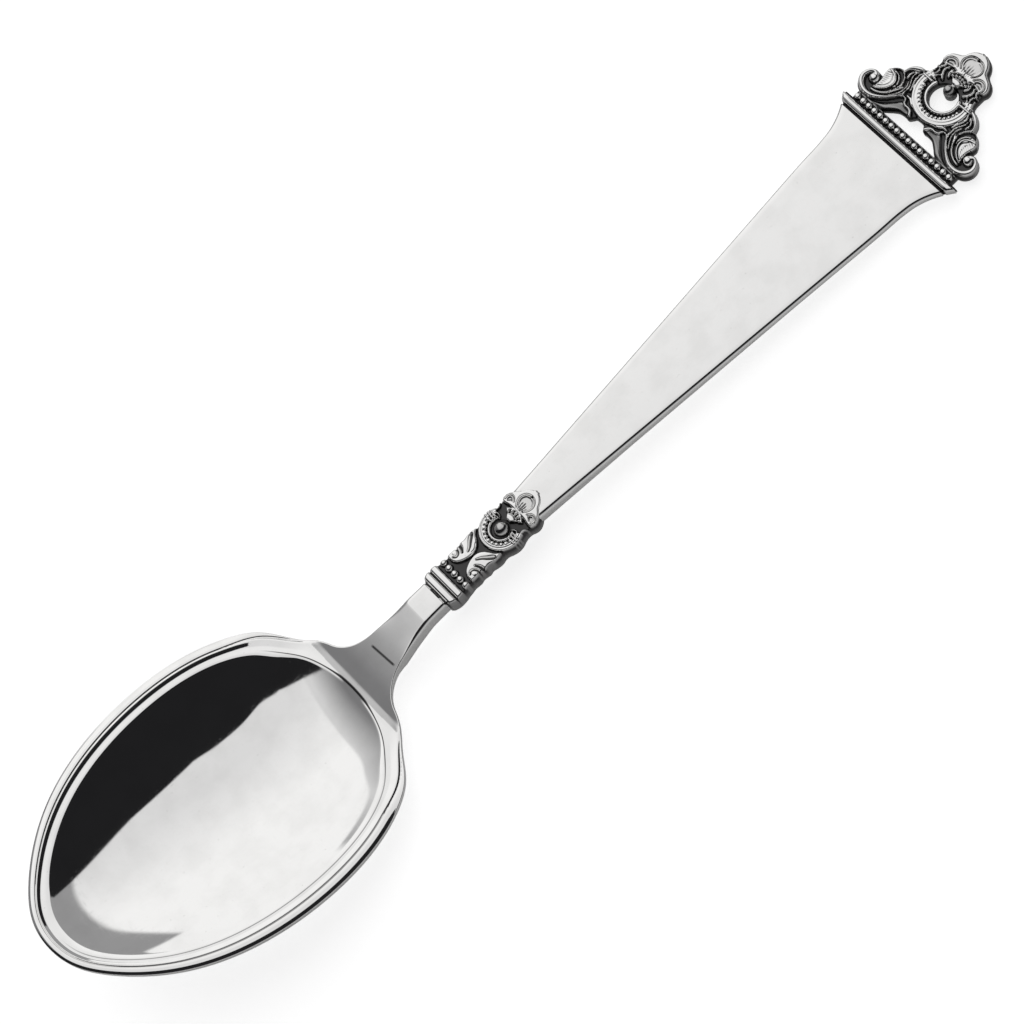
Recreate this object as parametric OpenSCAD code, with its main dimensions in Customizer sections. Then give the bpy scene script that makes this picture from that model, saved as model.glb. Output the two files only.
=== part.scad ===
// Dinner spoon, one solid piece of silver, lying as it comes to rest.
// Millimetres. +X runs from the tip of the bowl to the top of the handle and +Z is up.
// The origin is under the middle of the spoon, on the surface that it lies on.

/* [Bowl] */
// Length of the bowl from its tip to its heel
bowl_length = 60.8; // [54:0.2:70]
// Width of the bowl over its border
bowl_width = 45.6; // [38:0.2:50]
// Distance from the tip to the widest place of the bowl
bowl_widest_at = 34; // [30:0.5:38]
// Depth of the hollow below its edge
hollow_depth = 6.4; // [5:0.1:8.5]
// Thickness of the bowl at its middle
bowl_wall = 1.3; // [1:0.05:2]
// Width of the flat border beside the hollow
border_side = 3.1; // [2:0.1:4]
// Width of the flat border at the tip
border_tip = 2.2; // [1.6:0.1:3.4]
// Width of the flat border at the heel
border_heel = 3.5; // [2.6:0.1:5]
// Fall of the border from the edge of the hollow to its rim
border_fall = 0.35; // [0.2:0.05:0.7]
// Thickness of the rim
rim_thick = 0.8; // [0.6:0.05:1.4]
// Angle of the border's plane to the table, the tip being the higher end
bowl_tilt = 11.5; // [8:0.25:14]

/* [Neck] */
// Length of the neck from the heel of the bowl to the collar
neck_length = 15.2; // [10:0.2:24]
// Width of the neck where it meets the collar
neck_width = 4.8; // [4:0.1:6]
// Width that the neck spreads to on the bowl
shoulder_width = 19.6; // [16:0.2:24]
// Thickness of the neck
neck_thick = 3.7; // [3:0.1:4.6]
// Height of the neck's top face over the table, where it meets the collar
neck_height = 7; // [6:0.1:9]

/* [Handle] */
// Length of the handle from the start of the collar to the ridge
blade_length = 94; // [80:1:110]
// Width of the flat blade at the end of the collar
blade_width = 6; // [5:0.1:8]
// Width of the flat blade below the ridge, before it flares
blade_top_width = 18.7; // [14:0.1:22]
// Extra width that the flare adds at the ridge
flare_width = 4.2; // [2:0.1:6]
// Length of the flare
flare_length = 13; // [8:0.5:20]
// Thickness of the blade over its upper half
blade_thick = 1.7; // [1.4:0.05:2.4]

/* [Collar] */
// Length of the collar's ornament
collar_length = 21; // [18:0.5:24]
// Width of the collar at its bands
collar_width = 6.6; // [6:0.1:8]
// Height of the collar's block over the blade
collar_rise = 0.2; // [0.1:0.05:0.4]
// Height of the collar's reeds over its block
collar_relief = 0.5; // [0.3:0.05:0.7]
// Beads in the collar's cross row
collar_beads = 5; // [4:1:6]

/* [Head] */
// Length of the openwork from the bead bar to the tip of the palmette
openwork_length = 16.6; // [14:0.2:20]
// Width of the bead bar
bar_width = 21.4; // [18:0.2:26]
// Length of the bead bar along the handle
bar_length = 1.6; // [1.2:0.1:2.4]
// Length of the groove between the blade and the ridge
groove_length = 0.7; // [0.4:0.1:1.2]
// Depth of that groove
groove_deep = 0.4; // [0.2:0.05:0.6]
// Length of the ridge along the handle
ridge_length = 1; // [0.6:0.1:1.6]
// Thickness of the head's plate
head_thick = 2; // [1.6:0.05:2.6]
// Beads on the bar
bar_beads = 17; // [13:1:21]
// Height of the head's reeds and leaves over its plate
head_relief = 0.6; // [0.3:0.05:0.9]

/* [Hidden] */
silver = "silver";

// Facets round the bowl and steps along a curved reed
bowl_facets = 60;
reed_steps = 7;
// Facets of a small bead, of a bead in a cross row and of a ball
bead_facets = 6;
row_facets = 8;
ball_facets = 12;
// Depth that an ornament is rooted below the face that carries it
root = 0.35;
// Size of the small chamfer along the top edges of the neck and the blade
edge_break = 0.12;

// Shape of the egg outline: how much it narrows beside the tip and how near to it, how fully it runs to
// the heel, and the slight waist where it turns into the shoulders
tip_lean = 0.085;
tip_lean_at = 0.094;
heel_reach = 1.27;
heel_waist = 0.07;
heel_waist_at = 0.84;
heel_waist_size = 0.112;
// Powers that shape the section of the hollow and of the bowl's back
hollow_power = 2;
back_power = 1.9;

// Distances from the bowl's widest place to its tip and its heel, and half its width
tip_half = bowl_widest_at;
heel_half = bowl_length - bowl_widest_at;
side_half = bowl_width / 2;

// Depths below the border's plane: of the bowl's back, and of the rim's lower edge
rim_slope = tan(bowl_tilt);
back_depth = hollow_depth + bowl_wall;
under_edge = border_fall + rim_thick;

// Stations along the spoon, from the tip of the bowl
shoulder_start = bowl_length - 0.8 * border_heel;
rise_start = shoulder_start - 0.23 * neck_length;
collar_start = bowl_length + neck_length;
rise_end = collar_start - 0.2 * neck_length;

// Stations along the handle, from the start of the collar
ridge_start = blade_length + groove_length;
bar_start = ridge_start + ridge_length;
open_start = bar_start + bar_length;
handle_length = open_start + openwork_length;

// Fall of the straight handle, at which the underside of its end touches the table
fall = asin(neck_height / norm([handle_length, head_thick])) - atan(head_thick / handle_length);
spoon_length = collar_start + handle_length * cos(fall) - head_thick * sin(fall);

// Length and width at which the ornament of the collar and of the head is drawn
collar_drawn = [21, 6.6];
head_drawn = [16.6, 21.4];
// Centre of the beaded ring along each drawing, and radius of its row of beads
collar_ring_at = 13.5;
collar_ring = 2.6;
head_ring_at = 7.6;
head_ring = 3.65;
// Radius of the crown's row of beads
crown_radius = 1.95;

function mix(a, b, t) = a + (b - a) * t;
function clamp01(t) = min(1, max(0, t));
function smooth(t) = t * t * (3 - 2 * t);
function curve(a, b, c, d, steps) = [
    for (i = [0:steps])
        let (t = i / steps, s = 1 - t)
        s * s * s * a + 3 * s * s * t * b + 3 * s * t * t * c + t * t * t * d
];
function spiral(centre, r0, r1, a0, a1, steps) = [
    for (i = [0:steps])
        let (t = i / steps)
        centre + mix(r0, r1, t) * [cos(mix(a0, a1, t)), sin(mix(a0, a1, t))]
];

// Triangles of the skin between rings of points, each ring having the same count
function skin(rings, count) = [
    for (i = [0:rings - 2], j = [0:count - 1])
        let (a = i * count + j, b = i * count + (j + 1) % count, c = a + count, d = b + count)
        each [[a, c, b], [b, c, d]]
];

// A closed bar through rings of points, with flat ends
module bar_of(rings) {
    count = len(rings[0]);
    last = (len(rings) - 1) * count;
    polyhedron(
        points = [for (ring = rings, p = ring) p],
        faces = concat(
            skin(len(rings), count),
            [[for (j = [0:count - 1]) j]],
            [[for (j = [count - 1:-1:0]) last + j]]
        )
    );
}

// Point of an egg with the given half lengths and half width, at an angle from the tip
function egg(tip, heel, half, angle) =
    let (
        c = cos(angle),
        s = sin(angle),
        t = (1 - c) / tip_lean_at,
        x = -c * mix(heel_reach, 1, -c),
        lean = tip_lean * pow(t, 0.8) * exp(0.8 * (1 - t)),
        waist = heel_waist * exp(-pow((x - heel_waist_at) / heel_waist_size, 2))
    )
    c > 0 ? [-tip * c, half * s * (1 - lean)] : [heel * x, half * s * (1 - waist)];

// Rings of the hollow and of the back at a share of their size, and of the border at a share of its width
function hollow_point(share, angle) =
    egg(share * (tip_half - border_tip), share * (heel_half - border_heel),
        share * (side_half - border_side), angle);
function border_point(share, angle) =
    egg(tip_half - border_tip * (1 - share), heel_half - border_heel * (1 - share),
        side_half - border_side * (1 - share), angle);
function back_point(share, angle) = egg(share * tip_half, share * heel_half, share * side_half, angle);

// The bowl's section from the middle of the hollow, over the border and its thread, and back under the bowl
hollow_shares = [0.16, 0.38, 0.56, 0.71, 0.84, 0.94, 1];
border_steps = [[0.52, 0.14], [0.58, 0.42], [0.64, 0.42], [0.7, 0.28], [0.92, 0.56], [1, 1]];
back_shares = [1, 0.93, 0.82, 0.68, 0.5, 0.3, 0.12];
bowl_angles = [for (j = [0:bowl_facets - 1]) j * 360 / bowl_facets];

function level_ring(points, depth) = [for (p = points) [p[0], p[1], -depth - rim_slope * p[0]]];
bowl_rings = [
    for (s = hollow_shares)
        level_ring([for (a = bowl_angles) hollow_point(s, a)], hollow_depth * (1 - pow(s, hollow_power))),
    for (b = border_steps)
        level_ring([for (a = bowl_angles) border_point(b[0], a)], border_fall * b[1]),
    for (s = back_shares)
        level_ring([for (a = bowl_angles) back_point(s, a)],
            under_edge + (back_depth - under_edge) * (1 - pow(s, back_power)))
];
bowl_low = min([for (ring = bowl_rings, p = ring) p[2]]);

// Heights along the spoon: of the border's plane, of the straight handle, and of the rise between them
function rim_height(x) = -bowl_low - rim_slope * (x - bowl_widest_at);
function handle_height(x) = neck_height - tan(fall) * (x - collar_start);
function neck_rise(x) = smooth(clamp01((x - rise_start) / (rise_end - rise_start)));

// The heel of the bowl lifts with the neck
module bowl() {
    bar_of([
        for (ring = bowl_rings)
            [for (p = ring)
                let (x = p[0] + bowl_widest_at)
                [x, p[1], p[2] - bowl_low + neck_rise(x) * (handle_height(x) - rim_height(x))]]
    ]);
}

// Cross-section of the neck and the blade: crisp top edges and a softly rounded back
function bar_section(x, half, top, thick) = [
    [x, -half + edge_break, top],
    [x, -half, top - edge_break],
    [x, -half, top - 0.55 * thick],
    [x, -0.94 * half, top - 0.8 * thick],
    [x, -0.74 * half, top - 0.96 * thick],
    [x, -0.4 * half, top - thick],
    [x, 0.4 * half, top - thick],
    [x, 0.74 * half, top - 0.96 * thick],
    [x, 0.94 * half, top - 0.8 * thick],
    [x, half, top - 0.55 * thick],
    [x, half, top - edge_break],
    [x, half - edge_break, top]
];

// The neck spreads over the border at the heel and rises to the straight handle
neck_edge = curve(
    [shoulder_start, shoulder_width / 2],
    [shoulder_start + 0.14 * neck_length, 0.23 * shoulder_width],
    [shoulder_start + 0.31 * neck_length, 0.55 * neck_width],
    [collar_start + 1, neck_width / 2],
    14
);
function neck_top(x) = mix(rim_height(x) - 0.02, handle_height(x), neck_rise(x));
function neck_deep(x) =
    mix(under_edge + 0.4, neck_thick, smooth(clamp01((x - shoulder_start) / (0.6 * neck_length))));

module neck() {
    bar_of([for (p = neck_edge) bar_section(p[0], p[1], neck_top(p[0]), neck_deep(p[0]))]);
}

// Half width and thickness of the blade along the straight handle
flare_start = bar_start - flare_length;
function blade_half(u) =
    mix(blade_width, blade_top_width, (u - collar_length) / (blade_length - collar_length)) / 2
    + flare_width / 2 * pow(clamp01((u - flare_start) / flare_length), 3);
function blade_deep(u) =
    mix(neck_thick, blade_thick, clamp01(u / (0.72 * blade_length)))
    + (head_thick - blade_thick) * clamp01((u - flare_start) / (blade_length - flare_start));

module blade() {
    stations = [
        0, collar_length, 0.72 * blade_length, flare_start,
        for (i = [1:5]) mix(flare_start, blade_length, i / 5)
    ];
    bar_of([
        for (u = stations) bar_section(u, max(blade_half(u), neck_width / 2), 0, blade_deep(u)),
        for (u = [blade_length + 0.1, bar_start])
            bar_section(u, blade_half(u), -groove_deep, head_thick - groove_deep)
    ]);
    // The rounded ridge across the top of the blade, behind its groove
    translate([ridge_start + ridge_length / 2, 0, -groove_deep])
        cross_band(ridge_length / 2, 2 * blade_half(bar_start) - 0.1, 1.6 * groove_deep);
}

// A rounded band that lies across the handle
module cross_band(half, width, rise) {
    scale([half, 1, rise])
        rotate([90, 0, 0])
            cylinder(r = 1, h = width, center = true, $fn = 12);
}

// A rounded reed along a path, on a face at height 0 and rooted below it
module reed(path, start_half, end_half, rise) {
    last = len(path) - 1;
    section = [[1, -root], [0.72, 0.66 * rise], [0, rise], [-0.72, 0.66 * rise], [-1, -root]];
    bar_of([
        for (i = [0:last])
            let (
                along = path[min(i + 1, last)] - path[max(i - 1, 0)],
                side = [-along[1], along[0]] / norm(along) * mix(start_half, end_half, i / last)
            )
            [for (q = section) [path[i][0] + side[0] * q[0], path[i][1] + side[1] * q[0], q[1]]]
    ]);
}

module mirrored() {
    children();
    mirror([0, 1, 0]) children();
}

// A bead on the face at height 0, as a small faceted dome rooted below it
module bead(x, y, radius, facets = bead_facets) {
    translate([x, y, -root]) cylinder(r = radius, h = root, $fn = facets);
    translate([x, y, 0]) cylinder(r1 = radius, r2 = 0.55 * radius, h = 0.9 * radius, $fn = facets);
}

// A row of beads across the handle
module cross_row(x, width, count) {
    pitch = width / count;
    for (i = [0:count - 1])
        bead(x, (i - (count - 1) / 2) * pitch, 0.4 * pitch, row_facets);
}

// A short strap from one point to another
module strap(a, b, half) {
    hull()
        for (p = [a, b])
            translate([p[0], p[1], 0]) sphere(r = half, $fn = bead_facets);
}

// The palmette has a middle petal between two side petals, each with its own reed
module palmette_plan(base, tip, half) {
    span = tip - base;
    translate([base + span / 2, 0]) circle(r = span / 2, $fn = 22);
    mirrored()
        translate([base + 0.15 * span, 0.55 * half]) circle(r = 0.45 * half, $fn = 18);
}

module palmette(base, tip, half, rise) {
    span = tip - base;
    function at(f, g) = [base + f * span, g * half];
    middle = curve(at(0.02, 0.14), at(0.34, 0.64), at(0.8, 0.42), at(0.82, 0), reed_steps);
    lobe = curve(at(0.06, 0.36), at(-0.16, 1.06), at(0.6, 1.02), at(0.3, 0.42), reed_steps);
    mirrored() {
        reed(middle, 0.05 * half, 0.07 * half, rise);
        reed(lobe, 0.06 * half, 0.05 * half, rise);
        strap(at(0.1, 0.08), at(0.46, 0.2), 0.035 * half);
    }
    strap(at(0.1, 0), at(0.56, 0), 0.035 * half);
}

// The crest is a beaded horseshoe ring with a ball, a beaded crown and a palmette.
// Its middle is the ring's centre and +X points to the palmette.
module crest(ring, beads, ball_at, ball, crown_at, crown_beads, palm, rise) {
    rim = 0.11 * ring;
    outer = 1.22 * ring;
    inner = 0.75 * ring;
    reed(spiral([0, 0], outer, outer, 62, 298, 16), rim, rim, rise);
    reed(spiral([0, 0], inner, inner, 58, 302, 14), 0.9 * rim, 0.9 * rim, rise);
    pitch = 164 / (beads - 1);
    for (i = [0:beads - 1])
        translate(ring * [cos(98 + i * pitch), sin(98 + i * pitch), 0])
            bead(0, 0, 0.45 * ring * pitch * PI / 180);
    mirrored() {
        for (a = [79, 88])
            strap(0.85 * ring * [cos(a), sin(a)], 1.34 * ring * [cos(a), sin(a)], 0.6 * rim);
        reed(curve([0.4, 1.12] * ring, [0.75, 1.32] * ring, [1.05, 1.02] * ring, [0.72, 0.9] * ring, 5),
            rim, 0.6 * rim, rise);
        reed(curve([0.42, 0.92] * ring, [0.7, 0.86] * ring, [0.66, 0.7] * ring, [0.5, 0.58] * ring, 3),
            0.8 * rim, 0.6 * rim, rise);
    }
    translate([ball_at, 0, 0.25 * ball]) sphere(r = ball, $fn = ball_facets);
    translate([crown_at, 0, 0]) {
        intersection() {
            scale([1, 1, 0.42]) sphere(r = 0.84 * crown_radius, $fn = 16);
            linear_extrude(1.2, center = true)
                polygon([[0.25, -0.15], [3, -2.4], [3, 2.4], [0.25, 0.15]]);
        }
        for (i = [0:crown_beads - 1]) {
            a = mix(-42, 42, i / (crown_beads - 1));
            bead(crown_radius * cos(a), crown_radius * sin(a), 0.3);
        }
    }
    palmette(palm[0], palm[1], palm[2], rise);
}

// The collar carries two bands, a row of beads, two leaf scrolls and a crest
collar_palm = [3.3, 7.5, 3.35];

module collar_plan() {
    translate([0.3, -3.3]) square([3, 6.6]);
    translate([0.3, -2.9]) square([collar_ring_at, 5.8]);
    mirrored()
        for (c = [[4, 2.2, 0.8], [5.9, 2.2, 0.85], [7.7, 2.2, 0.85], [10, 2.1, 1.1]])
            translate([c[0], c[1]]) circle(r = c[2], $fn = 16);
    translate([collar_ring_at, 0]) {
        circle(r = 1.31 * collar_ring, $fn = 32);
        palmette_plan(collar_palm[0], collar_palm[1], collar_palm[2]);
    }
}

module collar_ornament() {
    for (x = [1, 2.6])
        translate([x, 0, 0]) cross_band(0.62, 6.5, 0.9 * collar_relief);
    cross_row(4, 6.4, collar_beads);
    mirrored() {
        reed(concat(
            spiral([5.95, 2.1], 0.35, 0.85, 70, 215, 4),
            curve([5.15, 1.3], [6.2, 0.2], [8, 1.2], [9, 2.6], 6)),
            0.24, 0.3, collar_relief);
        bead(6, 2.2, 0.36);
        reed(curve([6.2, 0.35], [8.4, -0.1], [9, 1.4], [10.6, 2.7], reed_steps), 0.2, 0.4, collar_relief);
        reed(curve([7.1, 1], [7.6, 1.2], [7.7, 1.8], [7.7, 2.7], 3), 0.2, 0.26, collar_relief);
    }
    translate([collar_ring_at, 0, 0])
        crest(collar_ring, 11, 0.1, 1, 1.3, 5, collar_palm, collar_relief);
}

module collar() {
    scale([collar_length / collar_drawn[0], collar_width / collar_drawn[1], 1]) {
        translate([0, 0, -neck_thick])
            linear_extrude(neck_thick + collar_rise)
                collar_plan();
        translate([0, 0, collar_rise]) collar_ornament();
    }
}

// The head has a bead bar that carries mirrored leaf scrolls and a pierced crest
head_palm = [4.2, 9, 4.65];

module scroll_plan() {
    for (c = [[2.1, 10.4, 1.95], [4.6, 8, 1.6], [7.2, 5.8, 1.65]])
        translate([c[0], c[1]]) circle(r = c[2], $fn = 22);
    polygon(concat(
        [[-0.2, 10.6]],
        curve([-0.2, 5.5], [0.9, 4.8], [1.7, 3.6], [1.7, 1.6], 5),
        [[3.2, 1.2], [5, 2.6], [8.4, 4.4], [7.5, 7.3], [5, 9.5], [2.2, 12.2], [0.3, 11.2]]
    ));
}

module openwork_plan() {
    difference() {
        union() {
            mirrored() scroll_plan();
            translate([head_ring_at, 0]) {
                circle(r = 1.31 * head_ring, $fn = 40);
                palmette_plan(head_palm[0], head_palm[1], head_palm[2]);
            }
        }
        translate([head_ring_at, 0]) circle(r = 0.65 * head_ring, $fn = 32);
    }
    // The ball hangs into the ring on this short stem
    translate([head_ring_at + 1.6, -0.5]) square([1.2, 1]);
}

module head_scroll() {
    reed(concat(
        spiral([2.75, 10.25], 0.5, 1.5, 20, 165, 5),
        curve([1.15, 9.8], [0.7, 8], [1.6, 5.9], [3.5, 4.9], 6)),
        0.5, 0.4, head_relief);
    bead(3.1, 10.2, 0.7, row_facets);
    reed(curve([2, 8.9], [2.7, 6.9], [4.6, 6.7], [4.9, 9], reed_steps), 0.2, 0.75, head_relief);
    reed(curve([2.3, 7.3], [4.3, 5.2], [6.9, 7.2], [5.8, 9.1], reed_steps), 0.25, 0.32, head_relief);
    reed(curve([2.9, 6.1], [5, 4.6], [6.6, 8.6], [8.6, 5.6], reed_steps), 0.25, 0.5, head_relief);
    reed(curve([3.4, 4.9], [5.2, 4.2], [6.4, 6.2], [8.3, 5.1], reed_steps), 0.4, 0.24, head_relief);
    reed(curve([3.7, 4.4], [2.6, 4.2], [2.2, 3.2], [2.2, 1.9], 5), 0.45, 0.3, head_relief);
}

module head() {
    plate = head_thick - head_relief / 2;
    translate([0, 0, -head_thick]) {
        translate([bar_start - 0.1, -bar_width / 2, 0])
            cube([bar_length + 0.1, bar_width, plate]);
        translate([open_start, 0, 0])
            scale([openwork_length / head_drawn[0], bar_width / head_drawn[1], 1]) {
                linear_extrude(plate) openwork_plan();
                translate([0, 0, plate]) {
                    mirrored() head_scroll();
                    translate([head_ring_at, 0, 0])
                        crest(head_ring, 16, 1.3, 0.85, 1.9, 6, head_palm, head_relief);
                }
            }
    }
    translate([0, 0, -head_relief / 2])
        cross_row(bar_start + bar_length / 2, bar_width - 0.2, bar_beads);
}

module spoon() {
    color(silver)
        translate([-spoon_length / 2, 0, 0])
            union() {
                bowl();
                neck();
                translate([collar_start, 0, neck_height])
                    rotate([0, fall, 0])
                        union() {
                            blade();
                            collar();
                            head();
                        }
            }
}

spoon();
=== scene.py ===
import math

import bpy
import numpy as np
from mathutils import Matrix, Vector


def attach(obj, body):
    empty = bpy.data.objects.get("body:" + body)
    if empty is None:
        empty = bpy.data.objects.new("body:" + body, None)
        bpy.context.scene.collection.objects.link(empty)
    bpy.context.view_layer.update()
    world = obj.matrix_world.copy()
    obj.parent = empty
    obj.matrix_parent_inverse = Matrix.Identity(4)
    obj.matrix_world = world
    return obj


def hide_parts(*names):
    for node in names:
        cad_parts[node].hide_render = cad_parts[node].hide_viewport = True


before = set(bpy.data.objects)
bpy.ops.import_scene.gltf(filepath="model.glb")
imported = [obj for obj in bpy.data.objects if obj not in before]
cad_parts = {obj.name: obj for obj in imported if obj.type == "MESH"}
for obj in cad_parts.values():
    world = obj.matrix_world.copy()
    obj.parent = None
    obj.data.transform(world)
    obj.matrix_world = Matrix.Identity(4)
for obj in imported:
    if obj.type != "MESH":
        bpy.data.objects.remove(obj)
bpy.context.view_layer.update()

# Sizes in millimetres, a few of them some tenths off the part's source. Stations x count from the tip of
# the bowl, and stations u along the handle from its collar.
BOWL_LENGTH, BOWL_WIDTH, WIDEST = 60.8, 45.6, 34.0
HOLLOW_DEPTH, BOWL_WALL = 6.4, 1.3
BORDER_SIDE, BORDER_TIP, BORDER_HEEL = 3.1, 2.2, 3.5
RIM_LOW, LEDGE = 1.15, -0.24
EDGE, ROUND = 0.16, 0.65
NECK_LENGTH, NECK_WIDTH, NECK_THICK, NECK_HEIGHT, SHOULDER_THICK = 15.2, 5.1, 3.7, 6.5, 2.0
BLADE_LENGTH, BLADE_WIDTH, BLADE_TOP, BLADE_THICK = 94.0, 6.55, 19.25, 1.7
TAPER_START, FLARE_START, FLARE_END, FLARE_WIDTH, THICKENING = 21, 88.8, 95, 4.2, 13.0
COLLAR_SINK, HEAD_THICK = 0.8, 2.0
GROOVE, RIDGE, BAR, OPENWORK = 0.7, 1.0, 1.6, 16.6
# Powers of the hollow and of the back, the rim's slope, and a bar's share of thickness at its sides
HOLLOW_POWER, BACK_POWER = 2.0, 1.9
RIM_SLOPE = math.tan(math.radians(11.8))
BACK_EDGE = 0.55

# Stations that follow from them
HEEL = BOWL_LENGTH - WIDEST
HOLLOW_HEEL = BOWL_LENGTH - BORDER_HEEL
BACK_DEPTH = HOLLOW_DEPTH + BOWL_WALL
SHOULDER = BOWL_LENGTH - 0.8 * BORDER_HEEL
COLLAR = BOWL_LENGTH + NECK_LENGTH
THIN_FROM = 0.72 * BLADE_LENGTH
BAR_START = BLADE_LENGTH + GROOVE + RIDGE
HANDLE = BAR_START + BAR + OPENWORK
FALL = math.asin(NECK_HEIGHT / math.hypot(HANDLE, HEAD_THICK)) - math.atan(HEAD_THICK / HANDLE)
LENGTH = COLLAR + HANDLE * math.cos(FALL) - HEAD_THICK * math.sin(FALL)

# The top of the neck is a ramp, and the border bends down to meet it
RAMP_TOP, RAMP_SLOPE, RAMP_BOW, RAMP_BOW_END = COLLAR - 3.6, 0.195, 0.0024, 14
BEND_START, HEEL_DROP = 36, 0.75
# The skin of the bowl ends in a straight cut across the neck, where the handle's skin starts
CUT, HALF_AT_CUT, SLOPE_AT_CUT = 65.5, 3.25, -0.17


def smooth(t):
    t = np.clip(t, 0, 1)
    return t * t * (3 - 2 * t)


def mix(a, b, t):
    return a + (b - a) * t


def least(a, b, k):
    """The lower of two heights, rounded over about k."""
    h = np.clip(0.5 + 0.5 * (b - a) / k, 0, 1)
    return mix(b, a, h) - k * h * (1 - h)


def dome_curve(k):
    """Height of a half round over its foot: k is 1 at its crest and 0 or less outside it."""
    return np.sqrt(np.clip(k, 0, 1))


def read_off(at, points):
    """Height at a place on a line that is straight between its points."""
    return np.interp(at, [p[0] for p in points], [p[1] for p in points])


def to_world(x, y, z):
    return np.stack([x - LENGTH / 2, y, z], -1) * 0.001


def on_handle(x, y, h):
    """Points of the straight handle: x along it from the bowl's tip, h over its top face."""
    u, c, s = x - COLLAR, math.cos(FALL), math.sin(FALL)
    return to_world(COLLAR + u * c + h * s, y, NECK_HEIGHT - u * s + h * c)


def spline(points, steps):
    """A smooth open line through the points, in some steps between two of them."""
    p = np.array(points, float)
    e = np.vstack([2 * p[0] - p[1], p, 2 * p[-1] - p[-2]])
    t = (np.arange(steps) / steps)[:, None]
    out = []
    for a, b, c, d in zip(e[:-3], e[1:-2], e[2:-1], e[3:]):
        bend = 2 * a - 5 * b + 4 * c - d
        out.append(0.5 * (2 * b + (c - a) * t + bend * t**2 + (3 * b - 3 * c + d - a) * t**3))
    return np.vstack(out + [p[-1:]])


def egg(tip, heel, half, a, waist=0.115):
    """Outline of the bowl from its tip (a = 0) to its heel (a = pi), from the widest place."""
    fullness, fullest, waist_at, waist_spread = 0.085, 3.2, 22.9, 2.4
    c, s = np.cos(a), np.sin(a)
    to_tip, to_heel = np.clip(c, 0, 1), np.clip(-c, 0, 1)
    from_tip = WIDEST * (1 - to_tip) / fullest
    bump = from_tip**0.8 * np.exp(0.8 * (1 - from_tip)) * (c > 0)
    back = tip * to_heel - (tip - heel) * to_heel**2
    dent = np.exp(-((back / heel * HEEL - waist_at) / waist_spread) ** 2) * (c < 0)
    x = np.where(c > 0, -tip * c, back)
    return np.stack([x, half * s * (1 - fullness * bump) * (1 - waist * dent)], -1)


def bowl_back(share):
    """Depth of the bowl's back under the rim's plane at a share of the way out from its middle."""
    return RIM_LOW + (BACK_DEPTH - RIM_LOW) * (1 - share**BACK_POWER)


# The bowl rests on the lowest place of its back
back_shares = np.linspace(0.1, 1, 91)
BOWL_LOW = -(bowl_back(back_shares) + RIM_SLOPE * HEEL * back_shares).max()


def rim_height(x):
    return -BOWL_LOW - RIM_SLOPE * (x - WIDEST)


def border_plane(x):
    """The rim's plane, which bends down a little towards the heel."""
    bend = np.clip((x - BEND_START) / (HOLLOW_HEEL - BEND_START), 0, 1.2) ** 2
    return rim_height(x) - HEEL_DROP * bend


def neck_top(x):
    """The border's plane, then a ramp with a slight hollow, then the straight handle."""
    straight = NECK_HEIGHT - math.tan(FALL) * (x - COLLAR)
    down = RAMP_TOP - x
    ramp_end = NECK_HEIGHT - math.tan(FALL) * (RAMP_TOP - COLLAR)
    ramp = ramp_end - RAMP_SLOPE * down - RAMP_BOW * np.clip(down, 0, RAMP_BOW_END) ** 2
    return -least(-border_plane(x), -least(ramp, straight, 0.12), 0.1)


def neck_deep(x):
    return mix(SHOULDER_THICK, NECK_THICK, smooth((x - SHOULDER) / (0.6 * NECK_LENGTH)))


def neck_half(x):
    """Half width of the neck between the end of the shoulders and the collar."""
    t = np.clip((x - CUT) / (COLLAR - CUT), 0, 1)
    slope = SLOPE_AT_CUT * (COLLAR - CUT)
    start = (2 * t**3 - 3 * t**2 + 1) * HALF_AT_CUT + (t**3 - 2 * t**2 + t) * slope
    return start + (3 * t**2 - 2 * t**3) * NECK_WIDTH / 2


def blade_half(u):
    """Half width of the handle, which widens in a straight line and flares after a slight dip."""
    line = mix(BLADE_WIDTH, BLADE_TOP, (u - TAPER_START) / (BLADE_LENGTH - TAPER_START)) / 2
    flare = FLARE_WIDTH / 2 * np.clip((u - FLARE_START) / (FLARE_END - FLARE_START), 0, 1.1) ** 2
    dip = 0.12 * np.exp(-((u - 87) / 2.6) ** 2)
    return np.maximum(line + flare - dip, NECK_WIDTH / 2)


def blade_deep(u):
    """Thickness of the handle, which thins towards its end and thickens again before the head."""
    thicken_from = BAR_START - THICKENING
    thicker = np.clip((u - thicken_from) / (BLADE_LENGTH - thicken_from), 0, 1)
    return mix(NECK_THICK, BLADE_THICK, np.clip(u / THIN_FROM, 0, 1)) + (HEAD_THICK - BLADE_THICK) * thicker


def under(t):
    """Share of a bar's thickness at t of its half width, on its rounded back."""
    return BACK_EDGE + (1 - BACK_EDGE) * dome_curve(1 - np.abs(t) ** 6)


def mesh_object(name, points, faces, oxide_and_painted_shade, sharp):
    mesh = bpy.data.meshes.new(name)
    mesh.from_pydata([tuple(p) for p in points], [], [tuple(f) for f in faces])
    mesh.attributes.new("oxide_and_painted_shade", "FLOAT", "POINT").data.foreach_set("value", oxide_and_painted_shade.astype(np.float32))
    mesh.validate()
    mesh.polygons.foreach_set("use_smooth", np.ones(len(mesh.polygons), bool))
    mesh.set_sharp_from_angle(angle=math.radians(sharp))
    obj = bpy.data.objects.new(name, mesh)
    bpy.context.scene.collection.objects.link(obj)
    return obj


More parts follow.
